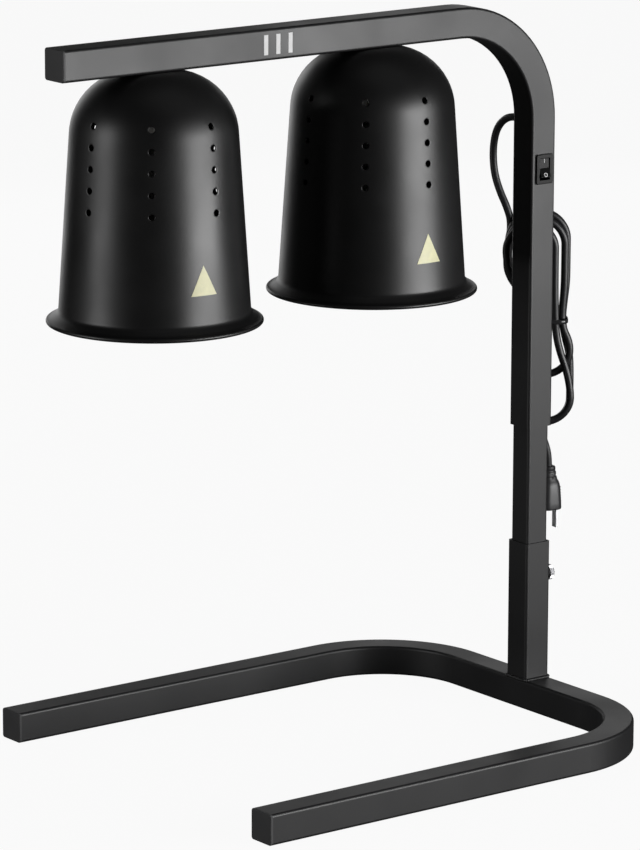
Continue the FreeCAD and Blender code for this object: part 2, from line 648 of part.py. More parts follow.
RELIEF_END = -19.7          # x of the strain relief's outer end
HANK_AWAY = 33.0            # from the post's axis to the hank's middle plane
HANK_DEPTH = 25.0
TIE_LOW, TIE_HIGH = 324.0, 329.0
TIE_ALONG = (-1.4, 32.4)    # the tie's two ends along the hank's width
TIE_PROUD = 1.2
PLUG_TOP, PLUG_FOOT = 199.5, 162.6
PLUG_TURN = 30.0            # turn of the plug's blades against the hank's width
BLADE = 1.5                 # thickness of a plug's blade
BLADE_PITCH = 12.7
BLADE_LENGTH, EARTH_PIN_LENGTH = 17.0, 18.0
EARTH_PIN = 2.4             # radius of the earth pin

# Sections of the plug's body, downward: width, depth, corner radius, z
PLUG_SECTIONS = [(13.0, 13.0, 6.0, PLUG_TOP), (16.0, 17.0, 6.5, PLUG_TOP - 9),
                 (20.0, 23.0, 6.5, PLUG_TOP - 20), (21.5, 25.0, 6.5, PLUG_FOOT)]

# Corners of the cord's route from the strain relief to the hank: x, y from the post's axis, z
LEAD_ROUTE = [(RELIEF_END, 0, 501.5), (-29.5, 0, 501.5), (-40.5, 0, 496.9), (-48.9, 0.3, 488.5),
              (-53.5, 0.8, 477.5), (-54.0, 1.6, 463.5), (-52.0, 3.0, 448.0), (-47.5, 5.8, 433.5),
              (-43.6, 9.4, 421.0), (-43.2, 12.2, 408.5)]
# Corners of its route from the hank to the plug: along the hank's width, away from the post, z
TAIL_ROUTE = [(6.0, 34.0, 243.0), (9.5, 35.0, 231.0), (14.0, 36.2, 219.5), (16.9, 37.4, 209.0),
              (17.2, 38.0, PLUG_TOP)]
# Outline of the tied hank: along its width, z
HANK_OUTLINE = [(8, 429), (22, 417.5), (31, 398), (33.8, 375), (32.2, 348), (31.0, 327), (34.4, 309),
                (36.2, 285), (36.2, 260), (30.5, 240.5), (14, 233.5), (-3, 239), (-11.4, 258), (-11.4, 286),
                (-4, 308), (0, 327), (-8, 343), (-18.5, 360), (-23.5, 388), (-16, 414.5)]


def hank_point(along, away, z):
    """Point in the model from a place along the hank's width, away from the post, and a height."""
    turn = math.radians(HANK_HEADING)
    return V(along * math.cos(turn) - away * math.sin(turn),
             POST_Y + along * math.sin(turn) + away * math.cos(turn), z)


def make_strain_relief():
    """Moulded bush in the wall: a grip inside, a flange, and a taper that the cord leaves."""
    outline = [(0, RELIEF_INSIDE), (5.0, RELIEF_INSIDE), (RELIEF, -4), (RELIEF, -HALF), (7.4, -HALF),
               (7.2, -HALF - 1.8), (5.4, -HALF - 2.2), (4.0, RELIEF_END), (0, RELIEF_END)]
    points = [V(x, POST_Y + r, CORD_EXIT_Z) for r, x in outline]
    face = Part.Face(Part.makePolygon(points + [points[0]]))
    return face.revolve(V(0, POST_Y, CORD_EXIT_Z), SIDE, 360)


def make_hank_outside():
    """Closed body as large as the tied bundle of turns."""
    near = HANK_AWAY - HANK_DEPTH / 2
    points = [hank_point(along, near, z) for along, z in HANK_OUTLINE]
    curve = Part.BSplineCurve()
    curve.interpolate(points, PeriodicFlag=True)
    away = hank_point(0, 1, 0) - hank_point(0, 0, 0)
    body = Part.Face(Part.Wire(curve.toShape())).extrude(away * HANK_DEPTH)
    return body.makeFillet(5.0, [e for e in body.Edges if e.Length > 200])


def make_tie(hank):
    """Plastic-covered wire tie drawn round the hank's waist."""
    low = hank_point(TIE_ALONG[0], HANK_AWAY - HANK_DEPTH / 2 - TIE_PROUD, TIE_LOW)
    slab = Part.makeBox(TIE_ALONG[1] - TIE_ALONG[0], HANK_DEPTH + 2 * TIE_PROUD, TIE_HIGH - TIE_LOW)
    upright = [e for e in slab.Edges if abs(e.tangentAt(0).z) > 0.9]
    slab = slab.makeFillet(4.5, upright)
    slab.rotate(V(0, 0, 0), UP, HANK_HEADING)
    slab.translate(low)
    return slab.cut(hank)


def make_plug():
    """Moulded plug: a tapered body under a short grip, with its face downward."""
    centre = hank_point(TAIL_ROUTE[-1][0], TAIL_ROUTE[-1][1], 0)
    sections = []
    for width, depth, corner, z in PLUG_SECTIONS:
        wire = rounded_rectangle(width, depth, corner)
        wire.rotate(V(0, 0, 0), UP, HANK_HEADING + PLUG_TURN)
        wire.translate(centre + UP * z)
        sections.append(wire)
    return Part.makeLoft(sections, True, True)


def make_plug_pins():
    """Two flat blades and a round earth pin."""
    pins = [block((x - BLADE / 2, -4.5, PLUG_FOOT - BLADE_LENGTH), (x + BLADE / 2, 1.8, PLUG_FOOT))
            for x in (-BLADE_PITCH / 2, BLADE_PITCH / 2)]
    tip = PLUG_FOOT - EARTH_PIN_LENGTH
    earth = rod(EARTH_PIN, V(0, 8.2, tip), UP, EARTH_PIN_LENGTH)
    pins.append(earth.makeFillet(1.4, [e for e in earth.Edges if abs(e.CenterOfMass.z - tip) < 0.01]))
    centre = hank_point(TAIL_ROUTE[-1][0], TAIL_ROUTE[-1][1], 0)
    for pin in pins:
        pin.rotate(V(0, 0, 0), UP, HANK_HEADING + PLUG_TURN)
        pin.translate(centre)
    return Part.makeCompound(pins)


lead = round_cable(placed(LEAD_ROUTE), CORD, report="cord lead")
tail = round_cable([hank_point(*p) for p in TAIL_ROUTE], CORD, report="cord tail")
hank = make_hank_outside()
save("strain_relief", make_strain_relief())
save("cord_lead", lead)
save("cord_tail", tail)
save("cord_tie", make_tie(hank))
save("cord_hank", hank.cut(lead).cut(tail))
save("plug_body", make_plug().cut(tail))
save("plug_pins", make_plug_pins())
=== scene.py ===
import bmesh
import bpy
import math
from mathutils import Euler, Matrix, Vector


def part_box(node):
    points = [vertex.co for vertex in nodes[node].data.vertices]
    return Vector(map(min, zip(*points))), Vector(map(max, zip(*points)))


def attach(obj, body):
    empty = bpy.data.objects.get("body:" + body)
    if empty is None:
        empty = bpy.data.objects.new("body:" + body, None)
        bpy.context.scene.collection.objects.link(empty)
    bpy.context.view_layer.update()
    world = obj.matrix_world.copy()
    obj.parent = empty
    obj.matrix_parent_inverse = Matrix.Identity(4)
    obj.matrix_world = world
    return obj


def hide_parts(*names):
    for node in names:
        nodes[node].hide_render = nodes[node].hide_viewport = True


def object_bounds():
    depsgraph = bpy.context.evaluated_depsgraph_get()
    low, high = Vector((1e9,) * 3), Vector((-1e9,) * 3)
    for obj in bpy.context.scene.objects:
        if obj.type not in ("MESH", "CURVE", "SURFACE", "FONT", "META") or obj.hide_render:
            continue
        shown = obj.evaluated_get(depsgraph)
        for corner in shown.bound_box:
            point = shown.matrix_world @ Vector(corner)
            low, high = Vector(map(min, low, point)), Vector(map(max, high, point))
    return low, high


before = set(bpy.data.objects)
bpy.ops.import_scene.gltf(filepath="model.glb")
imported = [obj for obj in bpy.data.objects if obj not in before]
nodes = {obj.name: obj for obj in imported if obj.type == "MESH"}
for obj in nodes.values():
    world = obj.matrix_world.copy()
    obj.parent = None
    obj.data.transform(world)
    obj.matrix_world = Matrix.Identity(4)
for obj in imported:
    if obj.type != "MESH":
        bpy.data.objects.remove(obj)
cad_low, cad_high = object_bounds()


# ---------------------------------------------------------------- camera
# A long lens on a tripod, in front of the fixture and to its switch side. It stands higher than
# the arm and looks down a little, so that the tops of the base's tubes show.

camera = bpy.data.objects.new("camera", bpy.data.cameras.new("camera"))
bpy.context.scene.collection.objects.link(camera)
bpy.context.scene.camera = camera
camera.data.sensor_width = 36.0
camera.data.lens = 210.7
camera.data.clip_end = 60.0
camera_place = Vector((3.1263, -2.3764, 1.1782))
camera_heading, camera_dip, camera_roll = 52.695, 12.958, 0.166
look = Euler((math.radians(90 - camera_dip), 0, math.radians(camera_heading))).to_matrix().to_4x4()
roll = Matrix.Rotation(math.radians(camera_roll), 4, "Z")
camera.matrix_world = Matrix.Translation(camera_place) @ look @ roll


# ---------------------------------------------------------------- floor and studio light
# A plain pale floor that runs out of sight, under a pale sky. One large soft box on the switch side
# makes the broad highlights, one in front lights the near faces, and weak ones overhead and behind
# draw the far edges of the black metal.

def stage_plane(name, size, height):
    mesh = bpy.data.meshes.new(name)
    half = size / 2
    corners = [(-half, -half, height), (half, -half, height), (half, half, height), (-half, half, height)]
    mesh.from_pydata(corners, [], [(0, 1, 2, 3)])
    plane = bpy.data.objects.new(name, mesh)
    bpy.context.scene.collection.objects.link(plane)
    return plane


def soft_box(name, place, aim, width, height, watts):
    lamp = bpy.data.lights.new(name, "AREA")
    lamp.shape = "RECTANGLE"
    lamp.size = width
    lamp.size_y = height
    lamp.energy = watts
    box = bpy.data.objects.new(name, lamp)
    bpy.context.scene.collection.objects.link(box)
    box.location = place
    box.rotation_euler = (Vector(aim) - Vector(place)).to_track_quat("-Z", "Y").to_euler()
    return box


floor = stage_plane("floor", 60.0, -0.0002)
floor_paint = bpy.data.materials.new("pale_floor")
floor_paint.use_nodes = True
floor_shader = floor_paint.node_tree.nodes["Principled BSDF"]
floor_shader.inputs["Base Color"].default_value = (0.04, 0.04, 0.04, 1)
floor_shader.inputs["Roughness"].default_value = 0.9
floor_shader.inputs["Specular IOR Level"].default_value = 0.0
floor_shader.inputs["Emission Color"].default_value = (1, 1, 1, 1)
floor_shader.inputs["Emission Strength"].default_value = 0.94
floor.data.materials.append(floor_paint)
floor.visible_glossy = False
floor.visible_diffuse = False

sky = bpy.data.worlds.new("pale_studio")
bpy.context.scene.world = sky
sky.use_nodes = True
sky_nodes, sky_links = sky.node_tree.nodes, sky.node_tree.links
background = sky_nodes["Background"]
background.inputs["Color"].default_value = (0.95, 0.95, 0.95, 1)
seen = sky_nodes.new("ShaderNodeLightPath")
strength = sky_nodes.new("ShaderNodeMapRange")
strength.inputs["To Min"].default_value = 0.035
strength.inputs["To Max"].default_value = 1.0
sky_links.new(seen.outputs["Is Camera Ray"], strength.inputs["Value"])
sky_links.new(strength.outputs["Result"], background.inputs["Strength"])

middle = (cad_low + cad_high) / 2
soft_box("side_box", (2.35, 1.15, 0.46), middle, 1.9, 1.1, 82)
soft_box("front_strip", (-0.62, -2.65, 0.6), middle, 1.0, 1.5, 25)
soft_box("top_box", (0.5, 0.2, 2.4), middle, 1.6, 1.6, 1.2)
soft_box("back_box", (-1.9, 1.9, 0.9), middle, 0.9, 1.4, 3)
soft_box("rear_fill", (-2.5, 0.5, 0.6), middle, 1.2, 1.4, 8)
bpy.context.scene.view_settings.view_transform = "Standard"


# ---------------------------------------------------------------- mains cord
# Round black cord, sheathed in PVC, from the bush in the post's far wall to its moulded plug.
# It falls in a short loop, is wound in a tied hank of three loose turns and ends in a tail.

CORD = 0.0064
POST = Vector((0, 0.22755, 0))
TIE_HEIGHT = 0.3265
HANK_HEADING = math.radians(52.7)
FOLD_STEP = 36


def surface(name, colour, roughness, metallic=0.0, vary=0.15, patch=0.04, grain=0.0008, relief=0.00002,
            shine=0.5):
    """A finish whose tone and gloss drift a little over the piece, with fine relief on its skin.

    Patch is the size of the slow drift and grain the size of the relief, both in metres."""
    material = bpy.data.materials.new(name)
    material.use_nodes = True
    tree = material.node_tree
    shader = tree.nodes["Principled BSDF"]
    shader.inputs["Metallic"].default_value = metallic
    shader.inputs["Specular IOR Level"].default_value = shine
    place = tree.nodes.new("ShaderNodeTexCoord")
    drift = tree.nodes.new("ShaderNodeTexNoise")
    drift.inputs["Scale"].default_value = 1 / patch
    drift.inputs["Detail"].default_value = 4.0
    ramp = tree.nodes.new("ShaderNodeValToRGB")
    for stop, position, share in zip(ramp.color_ramp.elements, (0.3, 0.7), (1 - vary, 1 + vary)):
        stop.position = position
        stop.color = (*(min(c * share, 1) for c in colour), 1)
    gloss = tree.nodes.new("ShaderNodeMapRange")
    gloss.inputs["From Min"].default_value = 0.3
    gloss.inputs["From Max"].default_value = 0.7
    gloss.inputs["To Min"].default_value = roughness * 0.9
    gloss.inputs["To Max"].default_value = roughness * 1.12
    skin = tree.nodes.new("ShaderNodeTexNoise")
    skin.inputs["Scale"].default_value = 1 / grain
    skin.inputs["Detail"].default_value = 2.0
    bump = tree.nodes.new("ShaderNodeBump")
    bump.inputs["Distance"].default_value = relief
    tree.links.new(place.outputs["Object"], drift.inputs["Vector"])
    tree.links.new(place.outputs["Object"], skin.inputs["Vector"])
    tree.links.new(drift.outputs["Fac"], ramp.inputs["Fac"])
    tree.links.new(drift.outputs["Fac"], gloss.inputs["Value"])
    tree.links.new(ramp.outputs["Color"], shader.inputs["Base Color"])
    tree.links.new(gloss.outputs["Result"], shader.inputs["Roughness"])
    tree.links.new(skin.outputs["Fac"], bump.inputs["Height"])
    tree.links.new(bump.outputs["Normal"], shader.inputs["Normal"])
    return material


cord_pvc = surface("cord_pvc", (0.011, 0.011, 0.012), 0.42, patch=0.05, grain=0.0006)


def hank_point(along, away, height):
    """Point from a place along the hank's width, its distance from the post's axis, and a height."""
    return POST + Vector((along * math.cos(HANK_HEADING) - away * math.sin(HANK_HEADING),
                          along * math.sin(HANK_HEADING) + away * math.cos(HANK_HEADING), height))


def pinched(height, far, waist, reach):
    """Place along the width of a side of a turn, which draws in to its waist at the tie."""
    gap = abs(height - TIE_HEIGHT) / reach
    share = 1 - 2 * gap ** 2 if gap < 0.5 else 2 * max(0, 1 - gap) ** 2
    return far + (waist - far) * share


def turn_side(start, end, count, upper, lower, waist, away, upper_reach, lower_reach):
    """Points of one side of a turn, evenly spaced in height."""
    points = []
    for k in range(count):
        height = start + (end - start) * k / (count - 1)
        far, reach = (upper, upper_reach) if height > TIE_HEIGHT else (lower, lower_reach)
        points.append(hank_point(pinched(height, far, waist, reach), away, height))
    return points


def turn_fold(left, right, middle, start, away, drift, count):
    """Points round one end of a turn, as steps of an even arc."""
    step = math.radians(FOLD_STEP)
    radius = (right - left) / 2 / math.cos(step / 2)
    return [hank_point((left + right) / 2 + radius * math.cos(math.radians(start) + step * k),
                       away - drift * k / (count - 1),
                       middle + radius * math.sin(math.radians(start) + step * k)) for k in range(count)]


# From the bush to the first turn, in millimetres from the foot of the post's axis
lead_points = [(-19.7, 0, 501.5), (-29.5, 0, 501.5), (-40.5, 0, 496.9), (-48.9, 0.3, 488.5),
               (-53.5, 0.8, 477.5), (-55.5, 1.6, 463.5), (-54.6, 3.0, 448.0), (-50.4, 5.8, 433.5),
               (-45.6, 9.4, 421.0), (-43.2, 12.2, 408.5)]
# The three turns: upper and lower ends, sides above and below the tie, waists, and how each side
# runs, in millimetres and degrees
turns = [
    dict(away=42.6, top=418.5, foot=237.0, left=-18.5, right=30.5, low_left=-8.5, low_right=34.5,
         down=8.0, up=27.2, fold_start=198, fold_count=5, left_end=264, left_count=10,
         right_start=266, right_count=9, spread=38),
    dict(away=36.2, top=414.0, foot=279.5, left=-19.0, right=28.5, low_left=-8.5, low_right=33.6,
         down=3.0, up=26.6, fold_start=126, fold_count=8, left_end=332, left_count=5,
         right_start=321, right_count=5, spread=38),
    dict(away=29.8, top=409.0, foot=240.5, left=-20.5, right=20.0, low_left=-8.0, low_right=34.6,
         down=8.0, up=20.8, fold_start=198, fold_count=5, left_end=267, left_count=9,
         right_start=269, right_count=8, spread=66),
]
# Along the hank's width, away from the post and up
last_strand = [(-21.5, 23.4, 386), (-19, 23.6, 371), (-10.5, 23.8, 357.5), (3.5, 24.4, 346),
               (13, 27.2, 333), (15, 29, 317.5), (12.5, 28.6, 301), (9, 28.3, 285), (6, 29.5, 270),
               (4.6, 32, 256)]
tail_points = [(6.0, 34.0, 243.0), (9.5, 35.0, 231.0), (14.0, 36.2, 219.5), (16.9, 37.4, 209.0),
               (17.2, 38.0, 199.5)]

MM = 0.001
HALF_TURN = 3.2 * MM
LEFT_START, RIGHT_END = 0.007, 0.006
LEFT_REACH, LOW_REACH, RIGHT_REACH = 0.046, 0.036, 0.034
CROWN_START, CROWN_POINTS = 18, 5
route = [POST + Vector(p) * MM for p in lead_points]
for t in turns:
    m = {key: value * MM for key, value in t.items()}
    crown = m["top"] - (m["right"] - m["left"]) / 2
    hollow = m["foot"] + (m["low_right"] - m["low_left"]) / 2
    route += turn_side(crown - LEFT_START, m["left_end"], t["left_count"], m["left"], m["low_left"],
                       m["down"], m["away"], LEFT_REACH, LOW_REACH)
    route += turn_fold(m["low_left"], m["low_right"], hollow, t["fold_start"], m["away"], HALF_TURN,
                       t["fold_count"])
    route += turn_side(m["right_start"], crown - RIGHT_END, t["right_count"], m["right"],
                       m["low_right"], m["up"], m["away"] - HALF_TURN, RIGHT_REACH, m["spread"])
    route += turn_fold(m["left"], m["right"], crown, CROWN_START, m["away"] - HALF_TURN, HALF_TURN,
                       CROWN_POINTS)
route += [hank_point(*(Vector(p) * MM)) for p in last_strand + tail_points]

cord_curve = bpy.data.curves.new("mains_cord", "CURVE")
cord_curve.dimensions = "3D"
cord_curve.bevel_depth = CORD / 2
cord_curve.bevel_resolution = 5
cord_curve.resolution_u = 6
strand = cord_curve.splines.new("NURBS")
strand.points.add(len(route) - 1)
for control, point in zip(strand.points, route):
    control.co = (*point, 1)
strand.order_u = 3
strand.use_endpoint_u = True
cord_curve.materials.append(cord_pvc)
mains_cord = bpy.data.objects.new("mains_cord", cord_curve)
bpy.context.scene.collection.objects.link(mains_cord)
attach(mains_cord, "upper")
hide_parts("cord_lead", "cord_hank", "cord_tail")


# ---------------------------------------------------------------- painted frame
# Square steel tube in satin black powder coat: the bent base, the welded lower post, the mast that
# slides in it, and the upper frame with its arm. The coat keeps a faint orange-peel texture.

powder_coat = surface("black_powder_coat", (0.0105, 0.0105, 0.011), 0.45, patch=0.09, grain=0.0011)


def dress(material, *names):
    """Gives pieces of the model their finish."""
    for name in names:
        for place in nodes[name].material_slots:
            place.material = material


dress(powder_coat, "base_frame", "lower_post", "upper_frame", "inner_mast", "clamp_nut")


# ---------------------------------------------------------------- weld beads
# Steel weld laid round the foot of the lower post and round the clamp nut, under the same coat.
# Each run is a row of overlapping ripples that follows the joint.

def tree_socket(tree, name, kind, value, values):
    """Adds a named input to a tree and notes the value that it starts with."""
    socket = tree.interface.new_socket(name=name, in_out="INPUT", socket_type=kind)
    values[socket.identifier] = value


def grown(name, tree, values):
    """Plain mesh that a tree of geometry nodes makes from its inputs' values."""
    holder = bpy.data.objects.new(name, bpy.data.meshes.new(name))
    bpy.context.scene.collection.objects.link(holder)
    modifier = holder.modifiers.new(name, "NODES")
    modifier.node_group = tree
    for identifier, value in values.items():
        modifier[identifier] = value
    mesh = bpy.data.meshes.new_from_object(holder.evaluated_get(bpy.context.evaluated_depsgraph_get()))
    holder.modifiers.remove(modifier)
    bpy.data.objects.remove(holder)
    return mesh


def weld_run(name, size, corner, bead, pitch):
    """Ripples of weld round a square joint with rounded corners."""
    tree = bpy.data.node_groups.new(name, "GeometryNodeTree")
    tree.interface.new_socket(name="Geometry", in_out="OUTPUT", socket_type="NodeSocketGeometry")
    values = {}
    tree_socket(tree, "Size", "NodeSocketFloat", size, values)
    tree_socket(tree, "Corner", "NodeSocketFloat", corner, values)
    tree_socket(tree, "Bead", "NodeSocketFloat", bead, values)
    tree_socket(tree, "Pitch", "NodeSocketFloat", pitch, values)
    tree_socket(tree, "Material", "NodeSocketMaterial", powder_coat, values)
    given = tree.nodes.new("NodeGroupInput")
    joint = tree.nodes.new("GeometryNodeCurvePrimitiveQuadrilateral")
    rounded = tree.nodes.new("GeometryNodeFilletCurve")
    rounded.mode = "POLY"
    rounded.inputs["Count"].default_value = 8
    steps = tree.nodes.new("GeometryNodeResampleCurve")
    steps.mode = "LENGTH"
    spots = tree.nodes.new("GeometryNodeCurveToPoints")
    spots.mode = "EVALUATED"
    ripple = tree.nodes.new("GeometryNodeMeshUVSphere")
    ripple.inputs["Segments"].default_value = 12
    ripple.inputs["Rings"].default_value = 8
    copies = tree.nodes.new("GeometryNodeInstanceOnPoints")
    copies.inputs["Scale"].default_value = (1.0, 1.0, 0.8)
    real = tree.nodes.new("GeometryNodeRealizeInstances")
    smooth = tree.nodes.new("GeometryNodeSetShadeSmooth")
    paint = tree.nodes.new("GeometryNodeSetMaterial")
    made = tree.nodes.new("NodeGroupOutput")
    link = tree.links.new
    link(given.outputs["Size"], joint.inputs["Width"])
    link(given.outputs["Size"], joint.inputs["Height"])
    link(joint.outputs["Curve"], rounded.inputs["Curve"])
    link(given.outputs["Corner"], rounded.inputs["Radius"])
    link(rounded.outputs["Curve"], steps.inputs["Curve"])
    link(given.outputs["Pitch"], steps.inputs["Length"])
    link(steps.outputs["Curve"], spots.inputs["Curve"])
    link(given.outputs["Bead"], ripple.inputs["Radius"])
    link(spots.outputs["Points"], copies.inputs["Points"])
    link(spots.outputs["Rotation"], copies.inputs["Rotation"])
    link(ripple.outputs["Mesh"], copies.inputs["Instance"])
    link(copies.outputs["Instances"], real.inputs["Geometry"])
    link(real.outputs["Geometry"], smooth.inputs["Geometry"])
    link(smooth.outputs["Geometry"], paint.inputs["Geometry"])
    link(given.outputs["Material"], paint.inputs["Material"])
    link(paint.outputs["Geometry"], made.inputs["Geometry"])
    return grown(name, tree, values)


def placed_piece(name, mesh, place, body):
    """An object at the origin whose mesh has been taken to its place, riding on a body."""
    mesh.transform(place)
    piece = bpy.data.objects.new(name, mesh)
    bpy.context.scene.collection.objects.link(piece)
    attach(piece, body)
    return piece


post_low, post_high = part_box("lower_post")
post_width = post_high.x - post_low.x
foot_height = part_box("base_frame")[1].z
WELD_STAND = 0.0003
foot_centre = Vector(((post_low.x + post_high.x) / 2, (post_low.y + post_high.y) / 2,
                      foot_height + WELD_STAND))
foot_weld = weld_run("weld_post_foot", size=post_width + 0.0008, corner=0.0028, bead=0.0016, pitch=0.0015)
placed_piece("weld_post_foot", foot_weld, Matrix.Translation(foot_centre), "base")
nut_low, nut_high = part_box("clamp_nut")
nut_width = nut_high.x - nut_low.x
nut_centre = Vector(((nut_low.x + nut_high.x) / 2, nut_low.y + WELD_STAND, (nut_low.z + nut_high.z) / 2))
nut_place = Matrix.Translation(nut_centre) @ Matrix.Rotation(math.radians(90), 4, "X")
nut_weld = weld_run("weld_clamp_nut", size=nut_width, corner=nut_width * 0.48, bead=0.0013, pitch=0.0012)
placed_piece("weld_clamp_nut", nut_weld, nut_place, "base")


# ---------------------------------------------------------------- lamp shades
# Two spun steel bells, 1 mm thick, with a flared ledge and a rolled edge. Eight columns of five
# vent holes are punched round each one, and its coat is a little smoother than the frame's.

shade_coat = surface("shade_powder_coat", (0.0045, 0.0045, 0.0047), 0.4, patch=0.06, grain=0.0009,
                     relief=0.000012)

DOME, DOME_FLAT = 0.051, 0.0155
TAPER, LEDGE_SLOPE = math.radians(3.85), math.radians(35)
LEDGE_END = Vector((0.085, -0.1964))
LEDGE_FILLET = 0.005
SHEET = 0.001
BEAD, BEAD_CENTRE = 0.0018, Vector((0.084, -0.1973))
NECK_HOLE, NECK_FLAT = 0.0052, 0.0105
VENT, VENT_TOP, VENT_PITCH = 0.0025, -0.036, 0.0168
VENT_COLUMNS, VENT_ROWS = 8, 5
VENT_RINGS = (VENT + 0.0011, VENT + 0.00035, VENT)
VENT_DISH = 0.00025
DOME_STEPS = 9
STEPS_ROUND = 144
SECTOR = STEPS_ROUND // VENT_COLUMNS


def side_radius(height, depth):
    """Radius of the bell's skin at a height below its top, a given depth inside its outer face."""
    dome = DOME - depth
    shoulder = dome * math.sin(TAPER) - DOME
    if height > shoulder:
        return DOME_FLAT + math.sqrt(dome ** 2 - (height + DOME) ** 2)
    return DOME_FLAT + dome * math.cos(TAPER) + (shoulder - height) * math.tan(TAPER)


def arc(centre, radius, start, end, count):
    """Points of an arc in a section, from one angle to another in radians."""
    angles = [start + (end - start) * k / count for k in range(count + 1)]
    return [centre + radius * Vector((math.cos(angle), math.sin(angle))) for angle in angles]


def bell_section(depth, edge_angle):
    """Section of one skin of the bell, from the neck's hole to the rolled edge."""
    dome = DOME - depth
    rows_top = VENT_TOP + VENT_PITCH / 2
    points = [Vector((NECK_HOLE, -depth)), Vector((NECK_FLAT, -depth))]
    rows_start = math.asin((rows_top + DOME) / dome)
    points += arc(Vector((DOME_FLAT, -DOME)), dome, math.pi / 2, rows_start, DOME_STEPS)
    for k in range(1, 4 * VENT_ROWS + 1):
        height = rows_top - VENT_PITCH / 4 * k
        points.append(Vector((side_radius(height, depth), height)))
    side = Vector((math.sin(TAPER), -math.cos(TAPER)))
    ledge = Vector((math.cos(LEDGE_SLOPE), -math.sin(LEDGE_SLOPE)))
    end = LEDGE_END - depth * Vector((math.sin(LEDGE_SLOPE), math.cos(LEDGE_SLOPE)))
    gap = end - points[-1]
    reach = (gap.x * ledge.y - gap.y * ledge.x) / (side.x * ledge.y - side.y * ledge.x)
    corner = points[-1] + side * reach
    radius = LEDGE_FILLET + depth
    start = corner - side * radius * math.tan((math.pi / 2 - TAPER - LEDGE_SLOPE) / 2)
    last = points[-1]
    points += [last.lerp(start, k / 5) for k in range(1, 5)]
    middle = start + radius * Vector((math.cos(TAPER), math.sin(TAPER)))
    points += arc(middle, radius, math.pi + TAPER, math.pi * 1.5 - LEDGE_SLOPE, 6)
    meet = BEAD_CENTRE + BEAD * Vector((math.cos(edge_angle), math.sin(edge_angle)))
    last = points[-1]
    return points + [last.lerp(meet, 0.5), meet]


def make_shade(name, centre, vent_turn, body):
    """The bell's two skins, joined at the neck, round the rolled edge and through every vent hole."""
    outer_edge, inner_edge = math.radians(98.2), math.radians(135.1)
    outer = bell_section(0, outer_edge)
    inner = bell_section(SHEET, inner_edge)
    edge = arc(BEAD_CENTRE, BEAD, outer_edge, inner_edge - math.tau, 15)[1:-1]
    section = outer + edge + inner[::-1]
    first_row = DOME_STEPS + 2
    skins = ((first_row, 1, 0.0), (len(section) - 1 - first_row, -1, SHEET))
    inside_hole = set()
    for start, way, depth in skins:
        for vent in range(VENT_ROWS):
            for row in (1, 2, 3):
                for column in range(VENT_COLUMNS):
                    inside_hole.update((start + way * (4 * vent + row), SECTOR * column + k)
                                       for k in (1, 2, 3))
    mesh = bmesh.new()
    ring = math.tau / STEPS_ROUND
    first_angle = math.radians(vent_turn) - 2 * ring
    grid = {}
    for row, point in enumerate(section):
        for k in range(STEPS_ROUND):
            if (row, k) not in inside_hole:
                angle = first_angle + ring * k
                place = (point.x * math.cos(angle), point.x * math.sin(angle), point.y)
                grid[row, k] = mesh.verts.new(place)
    for row in range(len(section)):
        below = (row + 1) % len(section)
        for k in range(STEPS_ROUND):
            corners = ((row, k), (row, (k + 1) % STEPS_ROUND), (below, (k + 1) % STEPS_ROUND), (below, k))
            if all(c in grid for c in corners):
                mesh.faces.new([grid[c] for c in corners])
    around = [(0, 0), (0, 1), (0, 2), (0, 3), (0, 4), (1, 4), (2, 4), (3, 4),
              (4, 4), (4, 3), (4, 2), (4, 1), (4, 0), (3, 0), (2, 0), (1, 0)]
    for column in range(VENT_COLUMNS):
        hole_angle = first_angle + ring * (SECTOR * column + 2)
        for vent in range(VENT_ROWS):
            hole_height = VENT_TOP - VENT_PITCH * vent
            lips = []
            for start, way, depth in skins:
                rim = [grid[start + way * (4 * vent + row), (SECTOR * column + k) % STEPS_ROUND]
                       for row, k in around]
                for radius in VENT_RINGS:
                    loop = []
                    for k in range(16):
                        turn = math.radians(135 - 22.5 * k)
                        height = hole_height + radius * math.sin(turn)
                        sunk = depth + (VENT_DISH if radius == VENT and depth == 0 else 0)
                        reach = side_radius(height, sunk)
                        angle = hole_angle + math.asin(radius * math.cos(turn) / reach)
                        place = (reach * math.cos(angle), reach * math.sin(angle), height)
                        loop.append(mesh.verts.new(place))
                    for k in range(16):
                        following = (k + 1) % 16
                        mesh.faces.new((rim[k], rim[following], loop[following], loop[k]))
                    rim = loop
                lips.append(rim)
            for k in range(16):
                following = (k + 1) % 16
                mesh.faces.new((lips[0][k], lips[0][following], lips[1][following], lips[1][k]))
    bmesh.ops.recalc_face_normals(mesh, faces=mesh.faces)
    data = bpy.data.meshes.new(name)
    mesh.to_mesh(data)
    mesh.free()
    data.materials.append(shade_coat)
    data.shade_smooth()
    data.set_sharp_from_angle(angle=math.radians(40))
    return placed_piece(name, data, Matrix.Translation(centre), body)


VENT_TURNS = {"front": 8.0, "rear": 2.5}
for place, vent_turn in VENT_TURNS.items():
    shade_low, shade_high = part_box("shade_" + place)
    shade_top = Vector((0, (shade_low.y + shade_high.y) / 2, shade_high.z))
    shade = make_shade("spun_shade_" + place, shade_top, vent_turn, "upper")
    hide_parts("shade_" + place)


# ---------------------------------------------------------------- bulbs and lampholders
# Reflector bulbs: blown glass, silvered inside its back and frosted on its face, cemented to a
# screw cap of brass. Each sits in a glazed porcelain lampholder hung on a threaded steel nipple.

